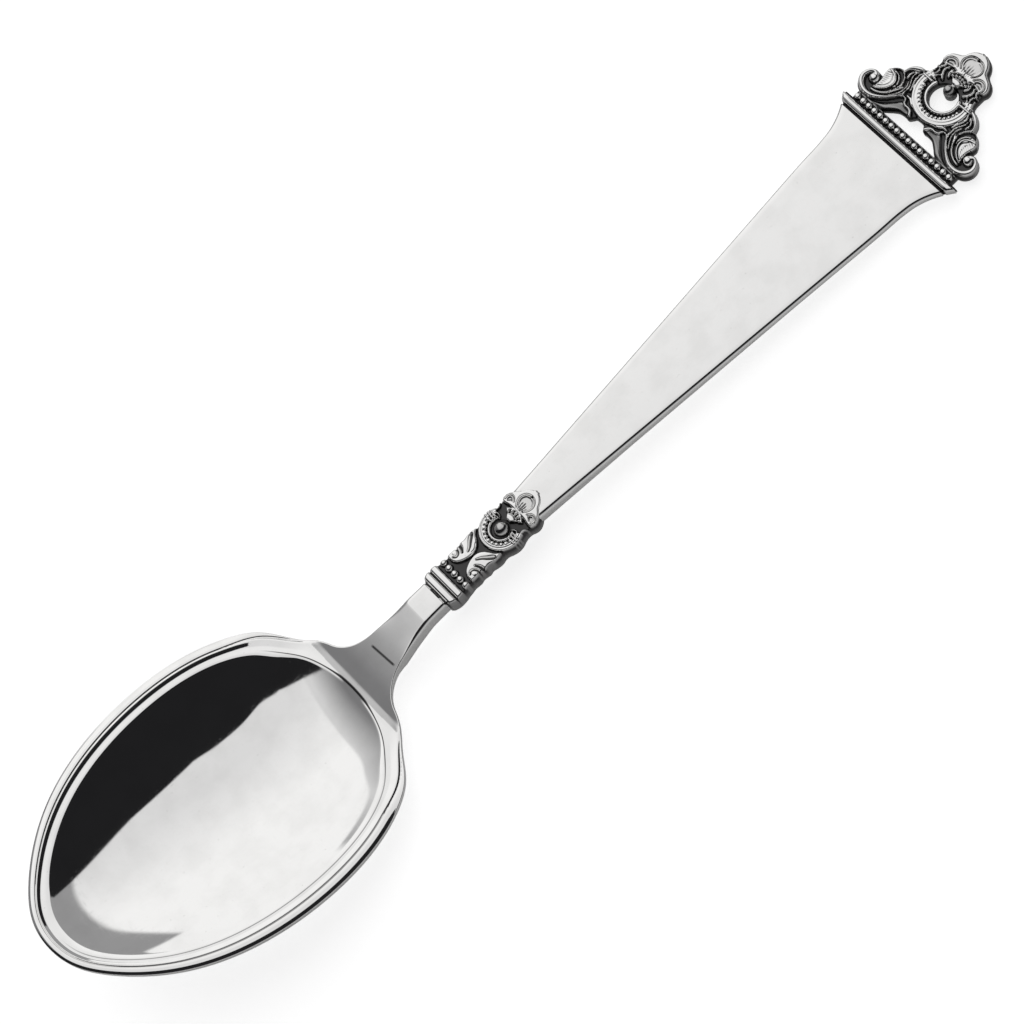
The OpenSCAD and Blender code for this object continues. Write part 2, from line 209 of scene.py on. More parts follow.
# The bowl, the neck and the blade are one skin. Its columns run round the bowl from the tip: along
# the egg, along the fillet of the shoulder, and over the cut across the neck.
EGG_COLUMNS, FILLET_COLUMNS, CUT_COLUMNS = 120, 24, 14
EGG_END, FILLET_END = math.radians(160.5), math.radians(171.5)
angles = np.concatenate([
    np.linspace(0, EGG_END, EGG_COLUMNS + 1),
    np.linspace(EGG_END, FILLET_END, FILLET_COLUMNS + 1)[1:],
    np.linspace(FILLET_END, math.pi, CUT_COLUMNS + 1)[1:],
])
COLUMNS = 2 * (len(angles) - 1)
FIRST_CUT = EGG_COLUMNS + FILLET_COLUMNS
LAST_CUT = COLUMNS - FIRST_CUT
MIDDLE = np.array([WIDEST, 0])
# The edge's rounding in steps of a quarter turn, and the steps down the side under it
EDGE_ARCS, SIDE_STEPS = np.array([0.3, 0.6, 0.85, 1.0]) * math.pi / 2, np.array([0.34, 0.67, 1.0])
SIDE_RINGS = len(EDGE_ARCS) + len(SIDE_STEPS)


def mirror_ring(half):
    """A whole ring from its +Y half, whose first and last points lie on the middle line."""
    return np.vstack([half, (half * [1, -1])[-2:0:-1]])


def shoulder_line():
    """Outline of the bowl and its shoulder on the +Y side, and the directions out of it."""
    line = egg(WIDEST, HEEL, BOWL_WIDTH / 2, angles[: EGG_COLUMNS + 1]) + MIDDLE
    start, tangent = line[-1], (line[-1] - line[-2]) / np.linalg.norm(line[-1] - line[-2])
    leave, arrive, end = start + 2.0 * tangent, np.array([62.2, 3.78]), np.array([CUT, HALF_AT_CUT])
    t = (np.arange(1, FILLET_COLUMNS + 1) / FILLET_COLUMNS)[:, None]
    fillet = (1 - t) ** 3 * start + 3 * (1 - t) ** 2 * t * leave + 3 * (1 - t) * t**2 * arrive + t**3 * end
    line = np.vstack([line, fillet])
    step = np.gradient(line, axis=0)
    out = np.stack([-step[:, 1], step[:, 0]], -1)
    out[0] = [-1, 0]
    return line, out / np.linalg.norm(out, axis=1)[:, None]


def edge_lines():
    """Rings of the skin's upper edge and its full outline, and the directions out of them."""
    line, out = shoulder_line()
    half_inside = HALF_AT_CUT - EDGE
    across = half_inside * (1 - np.arange(1, CUT_COLUMNS + 1) / CUT_COLUMNS)
    upper = np.vstack([line - EDGE * out, np.column_stack([np.full(CUT_COLUMNS, CUT), across])])
    upper[FIRST_CUT] = [CUT, half_inside]
    whole_out = np.tile([0.0, 1.0], (len(angles), 1))
    whole_out[:FIRST_CUT] = out[:FIRST_CUT]
    upper, whole_out = mirror_ring(upper), mirror_ring(whole_out)
    full = upper + EDGE * whole_out
    at_cut = slice(FIRST_CUT, LAST_CUT + 1)
    full[at_cut] = np.column_stack([upper[at_cut, 0], upper[at_cut, 1] * HALF_AT_CUT / half_inside])
    return upper, full, whole_out


def border_profile(b, line):
    """Height of the border over its plane at a share b of its width, with its thread at line."""
    return read_off(b / line, [
        (0, LEDGE), (0.36, LEDGE), (0.42, LEDGE + 0.02), (0.82, 0.04), (0.88, 0.045), (0.95, 0.01),
        (1.03, -0.13), (1.08, -0.13), (1.16, -0.01), (1.4, 0.0), (1.7, -0.06), (1.88, -0.15), (2.0, -0.26),
    ])


def top_surface(xy, hollow, border):
    return np.column_stack([xy, neck_top(xy[:, 0]) + least(hollow, border, 0.16)])


def shoulder_half(x):
    """Half width of the neck's back, which runs out on the bowl's back."""
    spread = np.clip((CUT - x) / (CUT - 55), 0, 2) ** 2.2
    return np.where(x < CUT, mix(HALF_AT_CUT, 11, spread), neck_half(x))


def back_surface(xy, share):
    """Points on the back, where the neck's rounded bar runs into the bowl."""
    x, y = xy[:, 0], xy[:, 1]
    bowl = rim_height(x) - bowl_back(share) + neck_top(x) - border_plane(x)
    t = np.abs(y) / shoulder_half(x)
    neck = neck_top(x) - neck_deep(x) * under(np.minimum(t, 1)) + 3 * np.maximum(t - 1, 0)
    neck = neck + 3 * np.maximum(SHOULDER - 2 - x, 0)
    return np.column_stack([xy, least(bowl, neck, 0.9)])


def bowl_rings():
    """Rings of the skin: out over the hollow and the border, down the side, and in over the back."""
    upper, full, out = edge_lines()
    tip, heel, half = WIDEST - BORDER_TIP, HOLLOW_HEEL - WIDEST, BOWL_WIDTH / 2 - BORDER_SIDE
    crease = mirror_ring(egg(tip, heel, half, angles, 0.04))
    c = np.cos(angles)
    ellipse = mirror_ring(np.stack([np.where(c > 0, -tip, -heel) * c, half * np.sin(angles)], -1))
    # At the shoulders the border's relief fades and its thread runs outwards
    fade_from, fade_to, turn_from, turn_to = 54.5, 59.4, 47.5, 59
    fade = 1 - smooth((upper[:, 0] - fade_from) / (fade_to - fade_from))
    line_at = mix(0.50, 0.97, smooth((upper[:, 0] - turn_from) / (turn_to - turn_from)))
    # The border's width as a share of the hollow's radius, with which the hollow's slope goes on under it
    reach = np.linalg.norm(upper - crease - MIDDLE, axis=1) / np.linalg.norm(crease, axis=1)

    rings = []
    to_crease = [0.885, 0.91, 0.93, 0.95, 0.965, 0.975, 0.983, 0.99, 0.996]
    for s in np.concatenate([np.linspace(0.02, 0.86, 43), to_crease]):
        hollow = np.full(COLUMNS, -HOLLOW_DEPTH * (1 - s**HOLLOW_POWER))
        rings.append(top_surface(mix(ellipse, crease, s**2) * s + MIDDLE, hollow, fade * LEDGE))
    first_border = len(rings)
    for b in np.concatenate([[0, 0.008, 0.018, 0.032, 0.05], np.linspace(0.075, 0.975, 37), [1]]):
        hollow = HOLLOW_DEPTH * HOLLOW_POWER * reach * b + 1e-6
        border = fade * border_profile(b, line_at)
        rings.append(top_surface(mix(crease + MIDDLE, upper, b), hollow, border))
    last_border = len(rings) - 1

    outer_egg = np.linalg.norm(mirror_ring(egg(WIDEST, HEEL, BOWL_WIDTH / 2, angles)), axis=1)
    share_out = np.linalg.norm(full - MIDDLE, axis=1) / outer_egg
    share_out[np.abs(share_out - 1) < 0.01] = 1
    top_z, side_low = rings[-1][:, 2], back_surface(full, share_out)[:, 2] + 0.1
    for a in EDGE_ARCS:
        rings.append(np.column_stack([upper + EDGE * math.sin(a) * out, top_z - EDGE * (1 - math.cos(a))]))
    for f in SIDE_STEPS:
        rings.append(np.column_stack([upper + EDGE * out, mix(top_z - EDGE, side_low, f)]))
    for s in [1.0, 0.994, 0.98, 0.96, 0.93, 0.9, 0.87, 0.84, 0.8, 0.76, 0.72, 0.67, 0.62, 0.57, 0.52, 0.46,
              0.4, 0.34, 0.28, 0.22, 0.16, 0.1, 0.05]:
        rings.append(back_surface((full - MIDDLE) * s + MIDDLE, share_out * s))
    return rings, first_border, last_border


def bowl_faces(ring_count, last_border):
    """Faces between the rings, with the side left open at the cut, and the fans in the two middles."""
    faces = []
    for i in range(ring_count - 1):
        side = last_border <= i <= last_border + SIDE_RINGS
        for j in range(COLUMNS):
            if not (side and FIRST_CUT <= j < LAST_CUT):
                a, b = i * COLUMNS + j, i * COLUMNS + (j + 1) % COLUMNS
                faces.append((a, b, b + COLUMNS, a + COLUMNS))
    last, centre = (ring_count - 1) * COLUMNS, ring_count * COLUMNS
    faces += [(centre, (j + 1) % COLUMNS, j) for j in range(COLUMNS)]
    faces += [(centre + 1, last + j, last + (j + 1) % COLUMNS) for j in range(COLUMNS)]
    return faces


def cut_loop(last_border):
    """The points round the open section that the rings leave at the cut."""
    below = last_border + SIDE_RINGS + 1
    top = [last_border * COLUMNS + j for j in range(FIRST_CUT, LAST_CUT + 1)]
    right = [i * COLUMNS + LAST_CUT for i in range(last_border + 1, below)]
    low = [below * COLUMNS + j for j in range(LAST_CUT, FIRST_CUT - 1, -1)]
    left = [i * COLUMNS + FIRST_CUT for i in range(below - 1, last_border, -1)]
    return top + right + low + left


def section(half, top, thick, crown, corner):
    """One closed section across the handle, in the order of the cut's loop: (y, height)."""
    t = np.linspace(1, -1, 2 * CUT_COLUMNS + 1)
    edge = top - crown
    low = min(top - thick * BACK_EDGE + 0.1, edge - corner - 0.05)
    side_y = np.concatenate([half - corner + corner * np.sin(EDGE_ARCS), np.full(len(SIDE_STEPS), half)])
    side_z = np.concatenate([edge - corner * (1 - np.cos(EDGE_ARCS)), mix(edge - corner, low, SIDE_STEPS)])
    y = np.concatenate([(half - corner) * t, -side_y, -half * t, side_y[::-1]])
    z = np.concatenate([top - crown * t**2, side_z, top - thick * under(t), side_z[::-1]])
    return y, z


def groove_at(u):
    """Height of the ridge and grooves that cross the handle before the bead bar."""
    return read_off(u, [
        (93.9, 0), (94.0, -0.1), (94.1, -0.34), (94.22, -0.36), (94.34, -0.3), (94.44, -0.05), (94.6, 0.14),
        (94.9, 0.25), (95.15, 0.25), (95.4, 0.16), (95.56, 0), (95.66, -0.3), (95.74, -0.5), (96.6, -0.6),
    ])


# Outline of the collar on its +Y side
COLLAR_START = 75.95
collar_line = spline([
    (COLLAR_START, 2.6), (76.3, 2.95), (77.0, 3.22), (77.7, 3.3), (78.6, 3.25), (79.3, 3.1), (80.0, 3.02),
    (80.7, 2.9), (81.2, 2.95), (81.9, 3.0), (82.6, 2.85), (83.2, 2.95), (83.8, 3.05), (84.4, 2.9),
    (85.2, 3.1), (86.1, 3.2), (86.9, 3.05), (87.5, 3.1), (88.2, 3.4), (89.1, 3.62), (90.0, 3.58),
    (90.8, 3.3), (91.5, 3.15), (92.2, 3.2), (92.9, 3.48), (93.6, 3.55), (94.4, 3.25), (95.1, 2.7),
    (95.6, 2.15), (96.3, 1.75), (96.9, 1.1), (97.2, 0.4), (97.25, 0.0),
], 5)


def under_collar(u, y):
    """1 where the collar's ornament covers the handle, whose face lies lower there for the recesses."""
    covered = smooth((u - 0.15) / 0.3) * smooth((20.3 - u) / 0.5)
    if u > 17.6:
        wide = np.interp(COLLAR + u, collar_line[:, 0], collar_line[:, 1])
        covered = covered * smooth((wide - 0.8 - np.abs(y)) / 0.4)
    return covered


def handle_sections():
    """Sections of the neck and the blade from the cut to the bead bar, with their darkening down in the
    grooves.
    """
    sections, oxide_and_painted_shade = [], []
    for x in np.linspace(CUT, COLLAR - 0.35, 34)[1:]:
        corner = mix(EDGE, ROUND, smooth((x - CUT) / 5))
        y, z = section(neck_half(x), neck_top(x), neck_deep(x), 0.03 * smooth((x - CUT) / 4), corner)
        sections.append(to_world(np.full(len(y), x), y, z))
        oxide_and_painted_shade.append(np.zeros(len(y)))
    for u in np.concatenate([np.linspace(-0.3, 21, 30), np.linspace(22, 82, 61), np.linspace(82.5, 93.7, 30),
                             np.linspace(93.78, 95.9, 54)]):
        deep = groove_at(u)
        half = blade_half(u) - 0.25 * smooth(-deep / 0.4)
        y, z = section(half, 0.0, blade_deep(u), 0.05, min(ROUND, 0.4 * blade_deep(u)))
        z = np.where(z > -0.9, z + deep, z)
        z = np.where(z > -0.9, z - COLLAR_SINK * under_collar(u, y), z)
        sections.append(on_handle(np.full(len(y), COLLAR + u), y, z))
        # Darker the deeper down in the grooves across the handle
        oxide_and_painted_shade.append(np.clip(-deep / 0.3, 0, 1) * (z > -0.95))
    return sections, oxide_and_painted_shade


def build_body():
    rings, first_border, last_border = bowl_rings()
    faces = bowl_faces(len(rings), last_border)
    middles = [[*MIDDLE, neck_top(WIDEST) - HOLLOW_DEPTH], [*MIDDLE, rim_height(WIDEST) - BACK_DEPTH]]
    skin = np.vstack(rings + [middles])
    sections, section_oxide_and_painted_shade = handle_sections()
    previous = cut_loop(last_border)
    size = len(previous)
    for k in range(len(sections)):
        now = [len(skin) + k * size + m for m in range(size)]
        for m in range(size):
            n = (m + 1) % size
            faces.append((previous[m], previous[n], now[n], now[m]))
        previous = now
    faces.append(tuple(previous))
    # Painted shade and painted reflection in the crease round the hollow: strongest at the heel, weaker on
    # the -Y side and none on the +Y side
    oxide_and_painted_shade = np.zeros(len(skin))
    for i in range(first_border, first_border + 4):
        heel = smooth((rings[i][:, 0] - 51) / 3)
        side = 0.6 * smooth(-rings[i][:, 1] / 6)
        oxide_and_painted_shade[i * COLUMNS : (i + 1) * COLUMNS] = mix(side, 0.95, heel)
    points = np.vstack([to_world(*skin.T)] + sections)
    return mesh_object("bowl_and_blade", points, faces, np.concatenate([oxide_and_painted_shade] + section_oxide_and_painted_shade), 40)


def distance(gx, gy, line, widths=None):
    """Distance from each grid point to an open line, and the line's width there."""
    best = np.full(gx.shape, 1e9)
    wide = np.zeros(gx.shape)
    line = np.asarray(line, float)
    for i in range(len(line) - 1):
        a, d = line[i], line[i + 1] - line[i]
        n = float(d @ d)
        if n < 1e-12:
            continue
        t = np.clip(((gx - a[0]) * d[0] + (gy - a[1]) * d[1]) / n, 0, 1)
        r = np.hypot(gx - a[0] - t * d[0], gy - a[1] - t * d[1])
        closer = r < best
        best = np.where(closer, r, best)
        if widths is not None:
            wide = np.where(closer, widths[i] + (widths[i + 1] - widths[i]) * t, wide)
    return best, wide


def inside(gx, gy, line):
    """Distance to a closed outline, positive inside it."""
    p = np.asarray(line, float)
    d, _ = distance(gx, gy, np.vstack([p, p[:1]]))
    odd = np.zeros(gx.shape, bool)
    for a, b in zip(p, np.roll(p, -1, axis=0)):
        if a[1] != b[1]:
            crossing_x = (b[0] - a[0]) * (gy - a[1]) / (b[1] - a[1]) + a[0]
            odd ^= ((a[1] > gy) != (b[1] > gy)) & (gx < crossing_x)
    return np.where(odd, d, -d)


def closed(outline, steps=5):
    return spline(list(outline) + [outline[0]], steps)[:-1]


def blur(a, n=1):
    """Each value mixed with its neighbours in the grid, n times over."""
    for _ in range(n):
        p = np.pad(a, 1, mode="edge")
        beside = p[:-2, 1:-1] + p[2:, 1:-1] + p[1:-1, :-2] + p[1:-1, 2:]
        corners = p[:-2, :-2] + p[2:, 2:] + p[:-2, 2:] + p[2:, :-2]
        a = (4 * p[1:-1, 1:-1] + 2 * beside + corners) / 16
    return a


def edge_fall(mask, r):
    """How far a surface has fallen at a distance inside its rounded edge of radius r."""
    k = np.clip(1 - mask / r, 0, 1)
    return r * (1 - dome_curve(1 - k * k))


class Relief:
    """Carving as a height field over the handle's top face, the same on both sides of the middle line."""

    def __init__(self, x0, x1, y1, pitch, floor):
        across = np.arange(-y1, y1 + pitch, pitch)
        self.x, self.y = np.meshgrid(np.arange(x0, x1 + pitch, pitch), across, indexing="ij")
        self.h = np.full(self.x.shape, float(floor))

    def near(self, line, reach):
        """The part of the grid close to a line, on the +Y and the -Y side."""
        p = np.asarray(line, float)
        lo, hi = p.min(0) - reach, p.max(0) + reach
        out = []
        for sign in (1, -1):
            y = self.y * sign
            rows = np.where(((self.x >= lo[0]) & (self.x <= hi[0])).any(1))[0]
            cols = np.where(((y >= lo[1]) & (y <= hi[1])).any(0))[0]
            if len(rows) and len(cols):
                out.append((np.s_[rows[0] : rows[-1] + 1, cols[0] : cols[-1] + 1], sign))
        return out

    def polar(self, x):
        """Distance and angle from a point on the middle line, in degrees from the handle's end."""
        return np.hypot(self.x - x, self.y), np.abs(np.degrees(np.arctan2(self.y, self.x - x)))

    def raise_to(self, h, where, cut=np.s_[:]):
        self.h[cut] = np.where(where, np.maximum(self.h[cut], h), self.h[cut])

    def reed(self, line, widths, top, drop=0.45, power=0.5):
        """A rounded rib along a line, from its half widths: its crest at top and its feet drop lower."""
        p = spline(line, 6)
        w = np.interp(np.linspace(0, 1, len(p)), np.linspace(0, 1, len(widths)), widths)
        for cut, sign in self.near(p, w.max()):
            d, r = distance(self.x[cut], self.y[cut] * sign, p, w)
            k = np.clip(1 - (d / np.maximum(r, 1e-6)) ** 2, 0, 1)
            self.raise_to(top - drop + drop * k**power, k > 0, cut)

    def groove(self, line, width, end_width, deep, steps=6):
        p = spline(line, steps)
        w = np.linspace(width, end_width, len(p))
        for cut, sign in self.near(p, 2.2 * max(width, end_width)):
            d, r = distance(self.x[cut], self.y[cut] * sign, p, w)
            self.h[cut] -= deep * np.exp(-((d / np.maximum(r, 1e-6)) ** 2) * 1.4)

    def dome(self, x, y, r, top, drop, power=0.5):
        for cut, sign in self.near([(x, y)], r):
            d = np.hypot(self.x[cut] - x, self.y[cut] * sign - y)
            k = np.clip(1 - (d / r) ** 2, 0, 1)
            self.raise_to(top - drop + drop * k**power, k > 0, cut)

    def leaf(self, outline, top, drop=0.4, soft=0.45, steps=5, sag=0.0):
        """A raised area with a rounded edge; sag hollows it towards its middle."""
        p = closed(outline, steps)
        for cut, sign in self.near(p, 0.1):
            d = inside(self.x[cut], self.y[cut] * sign, p)
            rise = drop * dome_curve(1 - (1 - np.clip(d / soft, 0, 1)) ** 2)
            self.raise_to(top - drop + rise - sag * np.clip(d - 0.15, 0, 1), d > 0, cut)

    def petal(self, outline):
        """Lowers the area inside an outline, and gives its share of each point."""
        share = smooth(inside(self.x, np.abs(self.y), closed(outline)) / 0.3)
        self.h -= 0.2 * share
        return share

    def crest(self, x, ring, oval, beads, level):
        """The beaded horseshoe ring and its two rims."""
        r = np.hypot((self.x - x) / oval, self.y)
        open_side = np.abs(np.degrees(np.arctan2(self.y, (self.x - x) / oval))) > 62
        outer, inner = 1.2 * ring, 0.735 * ring
        rims = (outer, 0.16 * ring, level, 0.3), (inner, 0.095 * ring, level - 0.12, 0.32)
        for at, half, top, drop in rims:
            k = np.clip(1 - ((r - at) / half) ** 2, 0, 1)
            self.raise_to(top - drop + drop * np.sqrt(k), (k > 0) & open_side)
        self.h -= 0.14 * np.exp(-(((r - outer) / (0.045 * ring)) ** 2)) * open_side
        first, last = math.radians(98), math.radians(262)
        step = (last - first) / (beads - 1)
        for i in range(beads):
            b = first + i * step
            if math.sin(b) > -1e-6:
                bead_x, bead_y = x + oval * ring * math.cos(b), ring * math.sin(b)
                self.dome(bead_x, bead_y, 0.4982 * ring * step, level + 0.02, 0.34, 0.4)

    def crown(self, x, fan, channel, bead_ring, beads, bead, bead_top):
        """A domed fan, a channel round it and the beads in the channel, all round a point.

        The fan is given by its middle radius, where it starts, its foot and its rise, and the channel by
        its radius, half width, reach to each side in degrees and floor.
        """
        r, a = self.polar(x)
        middle, start, foot, rise = fan
        k = np.clip(1 - ((r - middle) / 0.78) ** 2, 0, 1) * np.clip((46 - a) / 6, 0, 1)
        self.raise_to(foot + rise * np.sqrt(k), (k > 0) & (r > start))
        at, half, reach, floor = channel
        lowered = (np.exp(-(((r - at) / half) ** 4)) > 0.5) & (a < reach)
        self.h = np.where(lowered, np.minimum(self.h, floor), self.h)
        for degrees in beads:
            b = math.radians(degrees)
            self.dome(x + bead_ring * math.cos(b), bead_ring * math.sin(b), bead, bead_top, 0.4)

    def arc(self, x, radius, half, reach, foot, rise):
        """A fine rounded arc round a point on the middle line."""
        r, a = self.polar(x)
        k = 1 - ((r - radius) / half) ** 2
        self.raise_to(foot + rise * dome_curve(k), (k > 0) & (a < reach))

    def darkening(self, mask, level, fall, ball, petals, outline):
        """Share of darkening: oxide with painted shade by depth in the recesses, painted shade beside steep
        places and along the outline, a painted reflection on the ball, and more in the petals.
        """
        x, r, painted_ball_reflection = ball
        deep = np.clip((level - self.h) / fall, 0, 1) ** 0.8
        # Painted shade: darker beside steep places, where the blurred field lies above the surface
        beside = 0.5 * np.clip(blur(self.h, 6) - self.h, 0, 0.3) / 0.12
        # Painted reflection: a fixed dark share over the ball
        dark = np.where(self.polar(x)[0] < r, painted_ball_reflection, np.clip(deep + beside, 0, 0.99))
        # Darker in the lowered petals, and painted shade along the rounded outline
        return np.clip(dark + 0.22 * petals + outline * np.clip(1 - mask / 0.3, 0, 1), 0, 0.95)


def relief_object(name, field, mask, low, dark):
    """Closed mesh of the field where mask is positive, down to the height low."""
    nx, ny = mask.shape
    mask = np.where(np.abs(mask) < 1e-4, 1e-4, mask)
    border = np.ones_like(mask, bool)
    border[1:-1, 1:-1] = False
    mask = np.where(border, np.minimum(mask, -1e-3), mask)
    index = np.arange(nx * ny).reshape(nx, ny)
    a, b, c, d = (part.ravel() for part in (index[:-1, :-1], index[1:, :-1], index[1:, 1:], index[:-1, 1:]))
    i, j = np.meshgrid(np.arange(nx - 1), np.arange(ny - 1), indexing="ij")
    even = ((i + j) % 2 == 0).ravel()
    tri = np.vstack([
        np.column_stack([a, b, c])[even], np.column_stack([a, c, d])[even],
        np.column_stack([a, b, d])[~even], np.column_stack([b, c, d])[~even],
    ])
    m = mask.ravel()
    values = np.column_stack([part.ravel() for part in (field.x, field.y, field.h, low, dark)])
    count = (m[tri] > 0).sum(1)
    kept = list(map(tuple, tri[count == 3]))
    extra, cuts, walls = [], {}, []

    def cut(p, q):
        """The new point where the outline crosses an edge of the grid."""
        key = (p, q) if p < q else (q, p)
        if key not in cuts:
            t = m[key[0]] / (m[key[0]] - m[key[1]])
            t = min(max(t, 0.04), 0.96)
            cuts[key] = nx * ny + len(extra)
            extra.append(values[key[0]] * (1 - t) + values[key[1]] * t)
        return cuts[key]

    for p, q, r in tri[count == 1].tolist():
        while m[p] <= 0:
            p, q, r = q, r, p
        s, t = cut(p, q), cut(p, r)
        kept.append((p, s, t))
        walls.append((s, t))
    for p, q, r in tri[count == 2].tolist():
        while m[r] > 0:
            p, q, r = q, r, p
        s, t = cut(q, r), cut(p, r)
        kept += [(p, q, s), (p, s, t)]
        walls.append((s, t))
    values = np.vstack([values, np.array(extra)])
    used, kept = np.unique(np.array(kept), return_inverse=True)
    kept = kept.reshape(-1, 3)
    x, y, h, low_h, oxide_and_painted_shade = values[used].T
    n = len(used)
    points = np.vstack([on_handle(x, y, h), on_handle(x, y, low_h)])
    sides = [(s, s + n, t + n, t) for s, t in np.searchsorted(used, np.array(walls))]
    faces = [tuple(f) for f in kept] + [tuple(f[::-1] + n) for f in kept] + sides
    # Painted shade: the underside gets a fixed dark share of 0.6, which the walls blend into
    return mesh_object(name, points, faces, np.concatenate([oxide_and_painted_shade, np.full(n, 0.6)]), 60)


